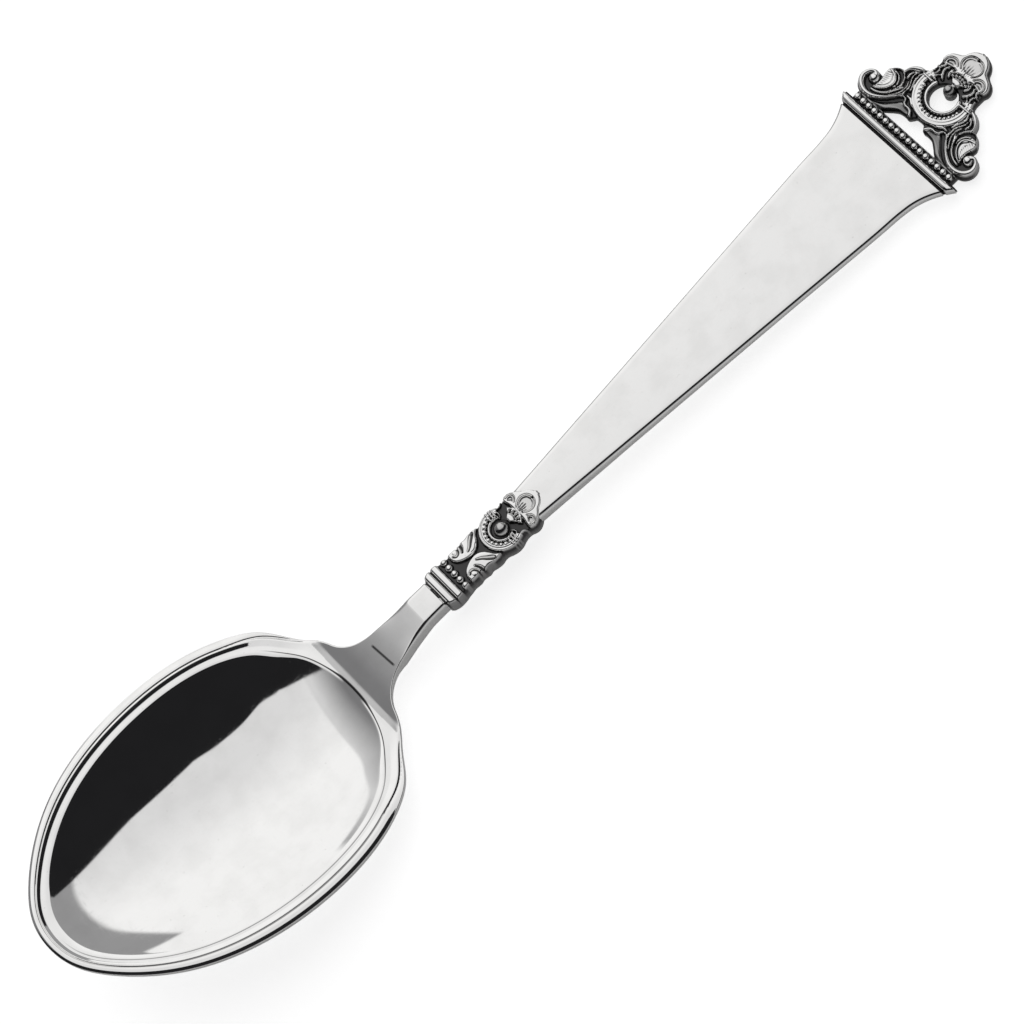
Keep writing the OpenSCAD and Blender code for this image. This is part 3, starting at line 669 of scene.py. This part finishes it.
def build_head():
    """Head: bead bar, leaf scrolls and pierced crest."""
    start, bar_end, bar_half = COLLAR + BAR_START + 0.02, 173.24, 10.68
    ring_at, hole_at, ball_at, crown_at = 180.75, 180.72, 182.05, 182.65
    head = Relief(start - 0.1, 190.1, 12.6, 0.08, -0.62)
    x, side = head.x, np.abs(head.y)
    outline = spline([
        (177.25, 9.62), (178.1, 9.72), (178.9, 9.3), (179.6, 8.6), (179.95, 7.85), (180.1, 7.5), (180.9, 7.2),
        (181.6, 6.6), (182.1, 5.8), (182.28, 5.0), (182.7, 4.6), (183.4, 4.5), (184.1, 4.48), (184.7, 4.5),
        (185.4, 4.75), (186.2, 4.55), (186.9, 3.95), (187.35, 3.1), (187.7, 2.55), (188.4, 2.2),
        (189.1, 1.65), (189.55, 0.9), (189.7, 0.0),
    ], 5)
    back_line = spline([(175.95, 0.0), (175.85, 0.75), (175.4, 1.15), (174.95, 1.6), (175.0, 2.5),
                        (174.85, 3.5), (174.3, 4.4), (173.6, 5.3), (173.2, 5.9)], 5)
    scroll = [(173.0, 10.2), (173.6, 11.2), (175.5, 12.0), (177.1, 11.2)]
    mask = inside(x, side, np.vstack([back_line, scroll, outline, [(189.7, -1.0), (175.95, -1.0)]]))
    volute = 2.02 - np.hypot(x - 175.3, side - 10.25)
    bar = np.minimum(np.minimum(x - start, bar_end - x), bar_half - side)
    mask = np.maximum(np.maximum(mask, volute), bar)
    hole = np.hypot((x - hole_at) / 0.98, side) - 2.3
    ball = 0.97 - np.hypot(x - ball_at, side)
    stem = np.minimum(0.55 - side, np.minimum(x - 182.0, 184 - x))
    mask = np.minimum(mask, np.maximum(hole, np.maximum(ball, stem)))

    head.h[(x < bar_end) & (side < bar_half + 0.02)] = -0.5
    for i in range(9):
        head.dome(172.45, i * 1.24, 0.56, 0.2, 0.5, 0.36)
    head.raise_to(-0.28, (np.abs(x - bar_end + 0.12) < 0.12) & (side < 10.6))
    # Back of the scroll, dark with fine ribs along it
    head.leaf([(173.35, 9.6), (173.6, 7.6), (174.4, 6.2), (175.6, 4.9), (176.4, 4.0), (175.9, 2.6),
               (175.3, 1.6), (175.05, 2.4), (174.95, 3.5), (174.3, 4.6), (173.5, 5.7), (173.2, 7.6)],
              -0.3, 0.3, 0.5)
    for k in range(4):
        o = 0.22 * k
        head.groove([(173.45 + o * 0.6, 8.0), (173.9 + o, 6.5), (174.7 + o, 5.2), (175.3 + 0.7 * o, 3.9),
                     (175.4 + 0.4 * o, 2.6)], 0.07, 0.05, 0.1)
    # The band that rolls into the volute, and its eye
    head.reed([(176.75, 10.2), (176.98, 10.9), (176.5, 11.55), (175.5, 11.83), (174.6, 11.45), (173.98, 10.6),
               (173.74, 9.6), (173.86, 8.5), (174.35, 7.5), (175.05, 6.55), (175.8, 5.8), (176.65, 5.1)],
              [0.4, 0.44, 0.48, 0.5, 0.5, 0.47, 0.43, 0.38, 0.31, 0.24, 0.2, 0.17], 0.3, 0.6)
    head.dome(176.15, 10.2, 0.84, 0.42, 0.75)
    # Fluted leaf under the volute
    head.leaf([(175.05, 9.5), (175.3, 8.7), (176.0, 7.85), (176.9, 7.3), (177.8, 7.32), (178.45, 7.9),
               (178.75, 8.7), (178.85, 9.45), (178.2, 9.6), (177.4, 9.45), (176.6, 9.25), (175.7, 9.3)],
              0.12, 0.5, 0.35, sag=0.16)
    head.groove([(175.45, 9.2), (175.9, 8.45), (176.6, 7.85), (177.4, 7.7), (178.0, 8.2)], 0.09, 0.06, 0.2)
    for k in range(7):
        p = 175.9 + 0.36 * k
        flute = [(p, 9.35), (p + 0.32, 8.75 - 0.05 * k), (p + 0.5, 8.35 - 0.02 * k)]
        head.groove(flute, 0.055, 0.045, 0.17, 3)
    head.reed([(175.05, 9.5), (175.3, 8.7), (176.0, 7.85), (176.9, 7.35), (177.8, 7.38), (178.4, 7.95),
               (178.7, 8.75), (178.75, 9.4)], [0.12, 0.17, 0.19, 0.2, 0.22, 0.26, 0.3, 0.26], 0.2, 0.5)
    # Ribs of the outer lobes, with dark channels between them
    head.reed([(176.0, 6.95), (176.7, 6.45), (177.5, 6.22), (178.3, 6.22), (179.1, 6.62), (179.7, 7.25),
               (179.86, 7.9), (179.55, 8.6), (178.95, 9.2), (178.5, 9.45)],
              [0.1, 0.14, 0.16, 0.16, 0.16, 0.18, 0.2, 0.2, 0.2, 0.15], 0.12, 0.55)
    head.reed([(179.55, 7.25), (180.2, 7.3), (180.9, 6.98), (181.4, 6.4), (181.72, 5.7), (181.85, 5.3)],
              [0.14, 0.26, 0.42, 0.5, 0.42, 0.3], 0.18, 0.6)
    head.reed([(176.8, 5.0), (177.5, 4.95), (178.3, 4.98), (179.0, 5.25), (179.7, 5.68), (180.3, 5.82),
               (181.0, 5.75)], [0.2, 0.16, 0.15, 0.14, 0.14, 0.13, 0.1], 0.05, 0.5)
    head.dome(176.8, 5.02, 0.3, 0.14, 0.4)
    head.reed([(176.85, 4.95), (176.95, 4.4), (176.75, 3.95), (176.3, 3.75), (176.08, 3.2), (176.08, 2.6),
               (175.85, 2.1), (175.35, 1.7)], [0.16, 0.17, 0.19, 0.2, 0.22, 0.24, 0.28, 0.3], 0.02, 0.5)
    for rib, widths, top in (
        ([(174.65, 9.3), (174.8, 8.5), (175.25, 7.6), (175.95, 6.85), (176.9, 6.25), (177.9, 5.75)],
         (0.2, 0.16), 0.0),
        ([(175.6, 6.5), (176.3, 5.95), (177.2, 5.5), (178.3, 5.42), (179.1, 5.75)], (0.15, 0.14), -0.06),
        ([(178.95, 8.7), (178.95, 7.9), (178.5, 7.2), (177.7, 6.8), (176.9, 6.85)], (0.2, 0.12), 0.02),
        ([(179.4, 6.3), (180.1, 6.4), (180.7, 6.15), (181.1, 5.6)], (0.2, 0.16), 0.0),
        ([(178.2, 4.5), (179.0, 4.75), (179.9, 5.15), (180.8, 5.2), (181.7, 4.75)], (0.16, 0.2), -0.02),
        ([(177.4, 4.2), (177.3, 3.5), (176.9, 2.9), (176.75, 2.2)], (0.2, 0.26), -0.05),
        ([(182.75, 2.3), (183.35, 2.75), (184.05, 3.0), (184.65, 2.75)], (0.24, 0.2), 0.05),
        ([(183.55, 1.7), (184.15, 2.05), (184.75, 1.95)], (0.22, 0.18), 0.02),
        ([(184.05, 3.75), (184.45, 3.45), (184.75, 3.5)], (0.22, 0.18), 0.05),
    ):
        head.reed(rib, widths, top, 0.42)
    # Ring, the two bands across it, and the small scrolls beyond them
    head.crest(ring_at, 3.62, 0.955, 16, 0.08)
    head.reed([(181.45, 3.0), (181.47, 3.92), (181.5, 4.85)], (0.3, 0.3), 0.14, 0.4, power=0.8)
    head.reed([(182.05, 3.0), (182.1, 3.92), (182.15, 4.85)], (0.22, 0.22), 0.08, 0.4, power=0.8)
    head.reed([(182.4, 4.5), (182.9, 4.28), (183.35, 4.2)], (0.12, 0.1), 0.0, 0.4)
    head.reed([(182.25, 3.78), (182.75, 3.62), (183.3, 3.5), (183.72, 3.75), (183.85, 4.3)],
              (0.18, 0.13), 0.08)
    head.reed([(182.2, 3.45), (182.75, 3.15), (183.05, 2.65), (182.7, 2.1)], (0.18, 0.13), 0.08)
    # Palmette
    head.leaf([(184.9, -0.6), (184.8, 1.2), (185.0, 2.2), (184.75, 3.2), (184.75, 4.25), (185.4, 4.6),
               (186.1, 4.42), (186.8, 3.85), (187.25, 3.0), (187.6, 2.4), (188.35, 2.08), (189.0, 1.55),
               (189.45, 0.85), (189.6, 0.0), (189.5, -0.6)], 0.1, 0.45, 0.5, 6)
    head.groove([(185.75, 1.15), (186.4, 1.68), (187.2, 1.8), (187.9, 1.42), (188.27, 0.75),
                 (188.33, 0.0)], 0.13, 0.17, 0.34)
    head.groove([(184.95, 3.92), (185.5, 3.95), (186.05, 3.55), (186.28, 2.85), (186.05, 2.15),
                 (185.6, 1.75)], 0.14, 0.12, 0.36)
    head.groove([(185.15, 3.4), (185.35, 2.8), (185.3, 2.3)], 0.07, 0.05, 0.22)
    head.groove([(185.55, 3.35), (185.75, 2.85), (185.6, 2.4)], 0.06, 0.05, 0.15)
    for y0, y1, x1 in ((0.0, 0.0, 187.2), (0.32, 0.48, 187.0), (0.62, 1.0, 186.6)):
        head.groove([(185.35, y0), (186.1, (y0 + y1) / 2), (x1, y1)], 0.07, 0.03, 0.16, 3)
    petals = head.petal([(185.3, -1.0), (185.8, 1.0), (186.4, 1.52), (187.2, 1.62), (187.85, 1.25),
                         (188.15, 0.6), (188.2, -1.0)])
    petals = petals + head.petal([(184.85, 3.75), (185.45, 3.75), (185.95, 3.35), (186.1, 2.75), (185.9, 2.2),
                                  (185.4, 1.9), (185.1, 2.6)])
    head.arc(crown_at, 2.42, 0.22, 52, -0.05, 0.2)
    head.crown(crown_at, fan=(0.95, 0, -0.35, 0.75), channel=(2.02, 0.42, 52, -0.3),
               bead_ring=1.98, beads=(8.5, 25.5, 42.5), bead=0.28, bead_top=0.16)
    to_ball = head.polar(ball_at)[0]
    head.raise_to(-0.15 + 0.9 * dome_curve(1 - (to_ball / 0.95) ** 2), to_ball < 0.95)

    head.h = blur(head.h)
    dark = head.darkening(mask, -0.1, 0.38, (ball_at, 0.8, 0.5), petals, 0.5 * (x > 173.3))
    head.h = head.h - edge_fall(mask, 0.28) - 0.0016 * head.y**2
    low = np.minimum(-HEAD_THICK + edge_fall(mask, 0.35), head.h - 0.25)
    return relief_object("head_openwork", head, mask, low, dark)


def build_collar():
    """Collar: two bands, a bead row, leaf scrolls and a crest."""
    ring_at, crown_at = 89.5, 90.7
    collar = Relief(COLLAR_START - 0.15, 97.7, 4.1, 0.06, -0.42)
    x, side = collar.x, np.abs(collar.y)
    mask = inside(x, side, np.vstack([[(COLLAR_START, -1.0)], collar_line, [(97.25, -1.0)]]))
    for band_at in (76.85, 78.3):
        k = np.clip(1 - (np.abs(x - band_at) / 0.66) ** 3, 0, 1)
        collar.raise_to(-0.32 + 0.62 * np.sqrt(k), k > 0)
    for bead_y in (0.0, 1.28, 2.56):
        collar.dome(79.95, bead_y, 0.6, 0.34, 0.6, 0.4)
    # Leaf scrolls
    collar.leaf([(80.95, 2.95), (80.92, 1.9), (81.3, 1.05), (82.1, 0.5), (83.1, 0.16), (84.2, 0.14),
                 (85.15, 0.6), (85.8, 1.35), (86.3, 2.2), (87.0, 2.85), (86.2, 3.15), (84.0, 3.1),
                 (82.4, 3.0)], 0.28, 0.55, 0.32)
    collar.groove([(82.62, 3.1), (82.68, 2.35), (82.35, 1.8), (81.85, 1.66), (81.5, 1.95)], 0.17, 0.12, 0.5)
    collar.dome(81.95, 2.35, 0.46, 0.36, 0.4)
    collar.groove([(83.4, 2.75), (83.3, 2.1), (82.95, 1.5)], 0.3, 0.14, 0.55)
    collar.groove([(85.7, 2.6), (85.0, 2.0), (84.4, 1.4), (83.7, 0.95)], 0.32, 0.12, 0.5)
    collar.groove([(85.3, 1.1), (84.6, 0.55), (83.9, 0.42)], 0.06, 0.05, 0.12)
    # Ring with its ball in a round recess, the bands across the ring, and small scrolls
    collar.crest(ring_at, 2.58, 1.0, 11, 0.26)
    to_ball = collar.polar(ring_at)[0]
    recess = -0.55 + 0.15 * np.clip((to_ball - 1.1) / 0.5, 0, 1)
    collar.h = np.where(to_ball < 1.62, recess, collar.h)
    collar.raise_to(-0.45 + 1.05 * dome_curve(1 - (to_ball / 1.2) ** 2), to_ball < 1.2)
    for band_x in (89.2, 89.75, 90.2):
        collar.reed([(band_x, 1.95), (band_x + 0.02, 2.7), (band_x + 0.04, 3.5)], (0.2, 0.2), 0.3)
    collar.reed([(90.8, 3.05), (91.2, 2.72), (91.7, 2.8), (92.05, 3.2)], (0.16, 0.13), 0.22)
    collar.reed([(90.4, 2.5), (90.75, 2.2), (90.7, 1.7), (90.4, 1.4)], (0.16, 0.12), 0.22)
    # Palmette
    collar.leaf([(92.7, -0.6), (92.75, 1.0), (92.65, 1.9), (92.5, 2.7), (92.75, 3.35), (93.5, 3.5),
                 (94.3, 3.2), (95.0, 2.65), (95.5, 2.1), (96.2, 1.7), (96.8, 1.05), (97.1, 0.4),
                 (97.15, -0.6)], 0.3, 0.6, 0.4, 6)
    collar.groove([(93.4, 0.72), (94.0, 1.15), (94.8, 1.36), (95.55, 1.05), (95.92, 0.5), (96.0, 0.0)],
                  0.1, 0.13, 0.36)
    collar.groove([(93.1, 2.95), (93.7, 3.0), (94.12, 2.6), (94.05, 2.0), (93.6, 1.5)], 0.13, 0.1, 0.42)
    collar.groove([(93.1, 2.4), (93.5, 2.1), (93.5, 1.8)], 0.07, 0.05, 0.2)
    petals = collar.petal([(93.2, -1.0), (93.45, 0.6), (94.05, 1.02), (94.8, 1.2), (95.45, 0.92),
                           (95.75, 0.4), (95.8, -1.0)])
    petals = petals + collar.petal([(93.0, 2.8), (93.6, 2.8), (93.95, 2.5), (93.9, 2.05), (93.5, 1.7),
                                    (93.15, 2.1)])
    for y0, y1, x1 in ((0.0, 0.0, 94.6), (0.28, 0.42, 94.5), (0.5, 0.85, 94.2)):
        collar.groove([(93.2, y0), (93.8, (y0 + y1) / 2), (x1, y1)], 0.06, 0.03, 0.18, 3)
    collar.crown(crown_at, fan=(0.82, 0.35, -0.2, 0.7), channel=(1.88, 0.34, 50, -0.15),
                 bead_ring=1.86, beads=(0, 21, 42), bead=0.29, bead_top=0.3)
    collar.arc(crown_at, 2.2, 0.14, 50, 0.12, 0.12)

    collar.h = blur(collar.h)
    dark = collar.darkening(mask, 0.0, 0.36, (ring_at, 1.1, 0.4), petals, 0.6)
    collar.h = collar.h - edge_fall(mask, 0.4) - 0.012 * collar.y**2
    thick = mix(NECK_THICK, BLADE_THICK, np.clip((x - COLLAR) / THIN_FROM, 0, 1)) + 0.12
    low = np.minimum(-thick + edge_fall(mask, 0.9), collar.h - 0.4)
    return relief_object("collar_ornament", collar, mask, low, dark)


class Graph:
    """A node tree of a material or the world, and the kinds of node that it is built from."""

    def __init__(self, owner):
        owner.use_nodes = True
        self.tree = owner.node_tree
        self.tree.nodes.clear()

    def new(self, kind):
        return self.tree.nodes.new("ShaderNode" + kind)

    def feed(self, socket, value):
        """Sets a socket, or links it where the value is another node's output."""
        if hasattr(value, "links"):
            self.tree.links.new(value, socket)
        else:
            socket.default_value = value

    def calc(self, operation, a, b):
        node = self.new("Math")
        node.operation = operation
        self.feed(node.inputs[0], a)
        self.feed(node.inputs[1], b)
        return node.outputs[0]

    def remap(self, value, from_min, from_max, to_min=0, to_max=1):
        node = self.new("MapRange")
        self.feed(node.inputs["Value"], value)
        self.feed(node.inputs["From Min"], from_min)
        self.feed(node.inputs["From Max"], from_max)
        self.feed(node.inputs["To Min"], to_min)
        self.feed(node.inputs["To Max"], to_max)
        return node.outputs["Result"]

    def blend(self, below, above, share):
        node = self.new("Mix")
        node.data_type = "RGBA"
        for name, colour in (("A", below), ("B", above)):
            self.feed(node.inputs[name], colour if hasattr(colour, "links") else (*colour, 1))
        self.feed(node.inputs["Factor"], share)
        return node.outputs["Result"]

    def noise(self, where, scale, detail, stretch=(1, 1, 1), turn=0.0):
        mapping = self.new("Mapping")
        self.feed(mapping.inputs["Vector"], where)
        mapping.inputs["Scale"].default_value = stretch
        mapping.inputs["Rotation"].default_value = (0, 0, turn)
        node = self.new("TexNoise")
        self.feed(node.inputs["Scale"], scale)
        self.feed(node.inputs["Detail"], detail)
        self.feed(node.inputs["Vector"], mapping.outputs[0])
        return node.outputs["Fac"]

    def plane(self, where, normal, width):
        """1 on the side of a plane that its normal points to, with an edge of some width."""
        dot = self.new("VectorMath")
        dot.operation = "DOT_PRODUCT"
        self.feed(dot.inputs[0], where)
        dot.inputs[1].default_value = Vector(normal).normalized()
        return self.remap(dot.outputs["Value"], -width, width)


def silver_material():
    """Polished silver with fine scratches and cloudiness, black where its oxide, its painted shade and its
    painted reflections lie.
    """
    material = bpy.data.materials.new("silver_polished")
    g = Graph(material)
    out = g.new("OutputMaterial")
    bsdf = g.new("BsdfPrincipled")
    bsdf.inputs["Metallic"].default_value = 1.0
    g.feed(out.inputs[0], bsdf.outputs[0])
    place = g.new("TexCoord").outputs["Object"]

    grain = g.noise(place, 3800, 3)
    specks = g.remap(g.noise(place, 1900, 3), 0.7, 0.78)
    scratches = g.calc("ADD", g.remap(g.noise(place, 520, 2, (1, 34, 1), 0.5), 0.66, 0.73),
                       g.remap(g.noise(place, 460, 2, (32, 1, 1), 0.3), 0.68, 0.74))
    # This attribute holds oxide together with painted shade and painted reflections, which darken the colour
    oxide_and_painted_shade = g.new("Attribute")
    oxide_and_painted_shade.attribute_name = "oxide_and_painted_shade"
    # A painted reflection: a thin dark line across the top of the neck, slightly askew
    line_x, line_y, askew = -0.0309, -0.00037, 0.066
    split = g.new("SeparateXYZ")
    g.feed(split.inputs[0], place)
    along = g.calc("ADD", split.outputs["X"], g.calc("MULTIPLY", split.outputs["Y"], askew))
    off_line = g.calc("ABSOLUTE", g.calc("SUBTRACT", along, line_x), 0)
    off_middle = g.calc("ABSOLUTE", g.calc("SUBTRACT", split.outputs["Y"], line_y), 0)
    painted_reflection_line = g.calc("MULTIPLY", g.remap(off_line, 0.0001, 0.00026, 0.9, 0),
                  g.remap(off_middle, 0.0022, 0.0026, 1, 0))
    painted_reflection_line = g.calc("MULTIPLY", painted_reflection_line, g.remap(split.outputs["Z"], 0.0034, 0.004))
    dark = g.calc("MAXIMUM", oxide_and_painted_shade.outputs["Fac"], painted_reflection_line)

    mottling = g.remap(g.noise(place, 240, 5), 0.42, 0.66, 0, 0.16)
    worn = g.calc("ADD", g.calc("MULTIPLY", specks, 0.4), mottling)
    worn = g.calc("ADD", worn, g.calc("MULTIPLY", scratches, 0.14))
    silver = g.blend((0.93, 0.925, 0.915), (0.62, 0.615, 0.60), worn)
    g.feed(bsdf.inputs["Base Color"], g.blend(silver, (0.022, 0.021, 0.022), dark))

    cloudiness = g.remap(g.noise(place, 60, 3), 0.3, 0.7, 0.025, 0.05)
    rough = g.calc("ADD", cloudiness, g.calc("MULTIPLY", dark, 0.3))
    g.feed(bsdf.inputs["Roughness"], g.calc("ADD", rough, g.calc("MULTIPLY", specks, 0.12)))
    height = g.calc("ADD", g.calc("MULTIPLY", grain, 0.12), g.calc("MULTIPLY", scratches, -0.12))
    bump = g.new("Bump")
    bump.inputs["Strength"].default_value = 0.2
    bump.inputs["Distance"].default_value = 0.00001
    g.feed(bump.inputs["Height"], g.calc("ADD", height, g.calc("MULTIPLY", specks, -0.3)))
    g.feed(bsdf.inputs["Normal"], bump.outputs[0])
    return material


def floor_material():
    """Pale grey, which the camera sees as white and metal as slightly lighter than it is."""
    material = bpy.data.materials.new("pale_floor")
    g = Graph(material)
    out = g.new("OutputMaterial")
    add = g.new("AddShader")
    diffuse = g.new("BsdfDiffuse")
    diffuse.inputs["Color"].default_value = (0.8, 0.8, 0.8, 1)
    glow = g.new("Emission")
    path = g.new("LightPath")
    for_camera = g.calc("MULTIPLY", path.outputs["Is Camera Ray"], 0.78)
    for_metal = g.calc("MULTIPLY", path.outputs["Is Glossy Ray"], 0.1)
    g.feed(glow.inputs["Strength"], g.calc("ADD", for_camera, for_metal))
    g.feed(add.inputs[0], diffuse.outputs[0])
    g.feed(add.inputs[1], glow.outputs[0])
    g.feed(out.inputs[0], add.outputs[0])
    return material


def build_floor():
    half, gap = 3, 0.00005
    corners = [(-half, -half, 0), (half, -half, 0), (half, half, 0), (-half, half, 0)]
    mesh = bpy.data.meshes.new("floor")
    mesh.from_pydata(corners, [], [(0, 1, 2, 3)])
    mesh.materials.append(floor_material())
    floor = bpy.data.objects.new("floor", mesh)
    bpy.context.scene.collection.objects.link(floor)
    floor.location.z = -gap
    return floor


def build_studio():
    """A soft box over the +Y side, grey walls at both ends, and the -Y side dark down to a pale wall."""
    world = bpy.data.worlds.new("studio")
    bpy.context.scene.world = world
    g = Graph(world)
    out = g.new("OutputWorld")
    background = g.new("Background")
    g.feed(out.inputs[0], background.outputs[0])
    direction = g.new("TexCoord").outputs["Generated"]

    def plane(normal, width):
        return g.plane(direction, normal, width)

    def overlap(share, *others):
        """1 only where all of some shares are."""
        for other in others:
            share = g.calc("MINIMUM", share, other)
        return share

    near_edge = overlap(plane((-0.43, 1, 0.385), 0.006), plane((-0.25, 1, 0.26), 0.006),
                        plane((0.2, 1, 0.1), 0.006), plane((0.92, 1, 0.257), 0.006))
    tip_end = plane((-1, 0.195, 1.06), 0.006)
    heel_end = overlap(plane((1, 0, 0.38), 0.006), plane((1, -0.135, 0.59), 0.006))
    far_wall = overlap(plane((-0.7, 1, -2.17), 0.01), plane((1, 0, -0.5), 0.02))
    # Grey beyond the ends: even past the tip, falling from the box outwards past the heel
    sky = g.blend((0.31, 0.31, 0.315), (0.68, 0.68, 0.685), plane((-1, 0, 0), 0.1))
    sky = g.blend(sky, (0.2, 0.2, 0.205), plane((-1, 0, -0.5), 0.07))
    sky = g.blend(sky, (0.93, 0.93, 0.93), far_wall)
    dark_side = g.blend((0.014, 0.014, 0.015), (0.5, 0.5, 0.505), plane((0, -1, -1.5), 0.22))
    sky = g.blend(sky, dark_side, g.calc("SUBTRACT", 1.0, near_edge))
    box_light = g.blend((0.74, 0.74, 0.745), (0.95, 0.95, 0.95), plane((0, 1, -0.45), 0.3))
    box_share = g.calc("MULTIPLY", near_edge, g.calc("MULTIPLY", tip_end, heel_end))
    g.feed(background.inputs["Color"], g.blend(sky, box_light, box_share))


def build_camera():
    """The photograph's camera: it looks from the -Y side with the picture turned."""
    image, centre = 1024, 512
    focal, distance_mm = 5000.0, 735.54
    azimuth, elevation, roll = (math.radians(v) for v in (269.609, 65.07, -44.95))
    target, target_in_image = Vector((95 - LENGTH / 2, 0, 5)), (529.25, 503.625)
    back = Vector((math.cos(azimuth) * math.cos(elevation), math.sin(azimuth) * math.cos(elevation),
                   math.sin(elevation)))
    right = Vector((-math.sin(azimuth), math.cos(azimuth), 0))
    up = back.cross(right)
    image_x = math.cos(roll) * right + math.sin(roll) * up
    image_y = -math.sin(roll) * right + math.cos(roll) * up
    shift_x = (target_in_image[0] - centre) / focal * distance_mm
    shift_y = (centre - target_in_image[1]) / focal * distance_mm
    eye = (target + distance_mm * back - shift_x * image_x - shift_y * image_y) * 0.001
    turn = Matrix((image_x, image_y, back)).transposed()

    data = bpy.data.cameras.new("camera")
    data.sensor_width = 36
    data.lens = focal / image * data.sensor_width
    data.clip_start, data.clip_end = 0.01, 20
    camera = bpy.data.objects.new("camera", data)
    bpy.context.scene.collection.objects.link(camera)
    camera.matrix_world = Matrix.Translation(eye) @ turn.to_4x4()
    return camera


body, head_piece, collar_piece = build_body(), build_head(), build_collar()
silver = silver_material()
for piece in (body, head_piece, collar_piece):
    piece.data.materials.append(silver)
    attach(piece, "root")
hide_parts("spoon")

build_floor()
build_studio()
bpy.context.scene.camera = build_camera()
bpy.context.scene.view_settings.view_transform = "Standard"
